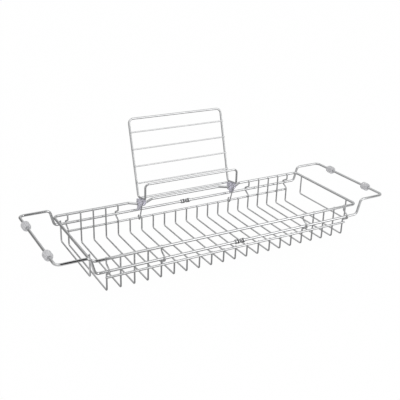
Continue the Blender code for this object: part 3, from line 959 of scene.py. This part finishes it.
studio = {
    "floorSize": 12.0,
    "floorColour": (0.86, 0.86, 0.865),
    "floorDrop": 0.0002,
    "floorLift": 0.97,
    # Grey of the floor in the metal round the caddy, a painted shadow
    "floorPaintedShadowTone": 0.29,
    "farFloorTone": 0.62,
    "nearFloorEdge": -0.27,
    "farFloorEdge": -0.45,
    "nearSideEdge": 0.27,
    "farSideEdge": 0.31,
    "sideBackEdge": 0.06,
    "sideFrontEdge": 0.02,
    "mattRoughness": 0.9,
    "worldLight": 1.05,
    "mirroredLight": 1.2,
    "windowPlace": (1.45, -2.30, 1.10),
    "windowAim": (0.0, 0.0, 0.08),
    "windowSize": (1.25, 1.9),
    "windowPower": 9.0,
    "cameraLens": 59.65,
    "cameraPlace": (-0.5991, -0.9906, 0.5035),
    "cameraTurn": math.radians(-30.16),
    "cameraPitch": math.radians(22.67),
    "cameraRoll": math.radians(-1.85),
    "cameraNear": 0.01,
    "cameraFar": 50.0,
}
plainWhite = (1.0, 1.0, 1.0, 1.0)

# What polished metal mirrors. Levels are greys from the room's left side to its right. Shares
# say where a band takes over from the room: they run from the horizon behind, under the caddy
# to the front horizon in the middle, and back over the top.
mirrored = {
    "frontLevels": [
        (0.00, 0.50), (0.24, 0.66), (0.31, 0.42), (0.50, 0.45), (0.60, 0.28), (0.625, 0.34),
        (0.64, 0.76), (0.69, 0.72), (0.71, 0.64), (0.74, 0.64), (0.77, 0.72), (0.79, 0.84),
        (0.82, 0.80), (0.835, 0.14), (0.90, 0.20), (1.00, 0.45),
    ],
    "roomLevels": [
        (0.00, 0.40), (0.20, 0.38), (0.27, 0.20), (0.38, 0.12), (0.44, 0.22), (0.50, 0.44),
        (0.60, 0.50), (0.75, 0.50), (1.00, 0.42),
    ],
    "ceilingLevels": [
        (0.00, 0.30), (0.14, 0.34), (0.19, 1.00), (0.48, 1.00), (0.54, 0.28), (0.60, 0.48),
        (0.75, 0.50), (1.00, 0.42),
    ],
    "skyLevels": [(0.00, 0.50), (0.50, 0.58), (1.00, 0.50)],
    "frontShares": [(0.46, 0.0), (0.52, 1.0), (0.66, 1.0), (0.72, 0.0), (1.00, 0.0)],
    "ceilingShares": [(0.67, 0.0), (0.70, 1.0), (0.82, 1.0), (0.85, 0.0)],
    "skyShares": [(0.845, 0.0), (0.86, 1.0), (0.905, 1.0), (0.92, 0.0)],
}


def linkNew(name, data):
    made = bpy.data.objects.new(name, data)
    bpy.context.collection.objects.link(made)
    return made


def addMath(tree, operation, first, second=None):
    node = tree.nodes.new("ShaderNodeMath")
    node.operation = operation
    for socket, value in zip(node.inputs, (first, second)):
        if isinstance(value, (int, float)):
            socket.default_value = value
        elif value is not None:
            tree.links.new(value, socket)
    return node.outputs[0]


def addMixed(tree, share, first, second):
    mix = tree.nodes.new("ShaderNodeMixShader")
    for socket, value in zip(mix.inputs, (share, first, second)):
        tree.links.new(value, socket)
    return mix.outputs[0]


def makeMatt(name, colour):
    material, tree, shader = makeMaterial(name)
    shader.inputs["Base Color"].default_value = (*colour, 1.0)
    shader.inputs["Roughness"].default_value = studio["mattRoughness"]
    shader.inputs["Specular IOR Level"].default_value = 0.0
    return material, tree, shader


def makeSheet(name, corners, material):
    mesh = bpy.data.meshes.new(name)
    mesh.from_pydata(corners, [], [(0, 1, 2, 3)])
    mesh.materials.append(material)
    return linkNew(name, mesh)


def seenDirectly(tree, ray):
    return addMath(tree, "MAXIMUM", ray.outputs["Is Camera Ray"], ray.outputs["Is Transmission Ray"])


def makeFloor():
    material, tree, shader = makeMatt("paleFloor", studio["floorColour"])
    ray = tree.nodes.new("ShaderNodeLightPath")
    white = addNode(tree, "ShaderNodeEmission", Color=plainWhite, Strength=1.0)
    lift = addMath(tree, "MULTIPLY", seenDirectly(tree, ray), studio["floorLift"])
    lit = addMixed(tree, lift, shader.outputs[0], white.outputs[0])
    # In the metal the floor looks bright out in front and beside, and grey round the caddy: a
    # painted shadow of the caddy, seen only in reflections
    place = tree.nodes.new("ShaderNodeNewGeometry")
    parts = tree.nodes.new("ShaderNodeSeparateXYZ")
    tree.links.new(place.outputs["Position"], parts.inputs[0])
    y = parts.outputs["Y"]
    outFront = addRange(tree, y, studio["farFloorEdge"], studio["nearFloorEdge"], 1.0, 0.0)
    sideways = addMath(tree, "ABSOLUTE", parts.outputs["X"])
    beside = addRange(tree, sideways, studio["nearSideEdge"], studio["farSideEdge"], 0.0, 1.0)
    before = addRange(tree, y, studio["sideFrontEdge"], studio["sideBackEdge"], 1.0, 0.0)
    bright = addMath(tree, "MAXIMUM", outFront, addMath(tree, "MULTIPLY", beside, before))
    tone = addRange(tree, bright, 0.0, 1.0, studio["floorPaintedShadowTone"], studio["farFloorTone"])
    grey = addNode(tree, "ShaderNodeEmission", Color=plainWhite)
    tree.links.new(tone, grey.inputs["Strength"])
    seen = addMixed(tree, ray.outputs["Is Glossy Ray"], lit, grey.outputs[0])
    tree.links.new(seen, tree.nodes["Material Output"].inputs["Surface"])
    half = studio["floorSize"] / 2
    height = floorLow.z - studio["floorDrop"]
    square = ((-half, -half), (half, -half), (half, half), (-half, half))
    floor = makeSheet("floor", [(x, y, height) for x, y in square], material)


def addGreys(tree, value, stops):
    return addColours(tree, value, [(place, (level,) * 3) for place, level in stops])


def makeWorld():
    world = bpy.data.worlds.new("studio")
    bpy.context.scene.world = world
    world.use_nodes = True
    tree = world.node_tree
    tree.nodes.clear()
    places = tree.nodes.new("ShaderNodeTexCoord")
    parts = tree.nodes.new("ShaderNodeSeparateXYZ")
    tree.links.new(places.outputs["Generated"], parts.inputs[0])
    across = addRange(tree, parts.outputs["X"], -1.0, 1.0, 0.0, 1.0)
    towards = addMath(tree, "MULTIPLY", parts.outputs["Y"], -1.0)
    turn = addMath(tree, "ARCTAN2", parts.outputs["Z"], towards)
    over = addRange(tree, turn, -math.pi, math.pi, 0.0, 1.0)
    levels = addGreys(tree, across, mirrored["roomLevels"])
    for part in ("front", "ceiling", "sky"):
        blend = tree.nodes.new("ShaderNodeMix")
        blend.data_type = "RGBA"
        # For colours a Mix node's sockets are 6 and 7 in, and 2 out
        tree.links.new(addGreys(tree, over, mirrored[f"{part}Shares"]), blend.inputs[0])
        tree.links.new(levels, blend.inputs[6])
        tree.links.new(addGreys(tree, across, mirrored[f"{part}Levels"]), blend.inputs[7])
        levels = blend.outputs[2]
    room = addNode(tree, "ShaderNodeBackground", Strength=studio["mirroredLight"])
    tree.links.new(levels, room.inputs["Color"])
    ray = tree.nodes.new("ShaderNodeLightPath")
    soft = addNode(
        tree, "ShaderNodeBackground", Color=plainWhite, Strength=studio["worldLight"]
    )
    white = addNode(tree, "ShaderNodeBackground", Color=plainWhite, Strength=1.0)
    light = addMixed(tree, ray.outputs["Is Glossy Ray"], soft.outputs[0], room.outputs[0])
    seen = addMixed(tree, seenDirectly(tree, ray), light, white.outputs[0])
    output = tree.nodes.new("ShaderNodeOutputWorld")
    tree.links.new(seen, output.inputs["Surface"])


flag = {
    "corners": [
        (-0.32, -0.50, 0.0), (-0.155, -0.50, 0.0), (-0.17, -0.10, 0.45), (-0.33, -0.10, 0.45),
    ],
    "colour": (0.004, 0.004, 0.004),
}


def makeFlag():
    # A black card that leans over the near left corner, seen in the metal alone
    material, _, _ = makeMatt("blackCard", flag["colour"])
    card = makeSheet("flag", flag["corners"], material)
    card.visible_camera = False
    card.visible_diffuse = False
    card.visible_transmission = False
    card.visible_shadow = False


def makeWindow():
    data = bpy.data.lights.new("window", "AREA")
    data.shape = "RECTANGLE"
    data.size, data.size_y = studio["windowSize"]
    data.energy = studio["windowPower"]
    window = linkNew("window", data)
    window.location = studio["windowPlace"]
    aim = Vector(studio["windowAim"]) - window.location
    window.rotation_euler = aim.to_track_quat("-Z", "Y").to_euler()


def makeCamera():
    data = bpy.data.cameras.new("camera")
    data.lens = studio["cameraLens"]
    data.clip_start, data.clip_end = studio["cameraNear"], studio["cameraFar"]
    camera = linkNew("camera", data)
    turn = (
        Matrix.Rotation(studio["cameraTurn"], 4, "Z")
        @ Matrix.Rotation(math.pi / 2 - studio["cameraPitch"], 4, "X")
        @ Matrix.Rotation(-studio["cameraRoll"], 4, "Z")
    )
    place = Vector(studio["cameraPlace"]) + Vector((0, 0, rimZ))
    camera.matrix_world = Matrix.Translation(place) @ turn
    bpy.context.scene.camera = camera


makeFloor()
makeWorld()
makeFlag()
makeWindow()
makeCamera()
bpy.context.scene.view_settings.view_transform = "Standard"
print("studio made")

bpy.context.view_layer.update()
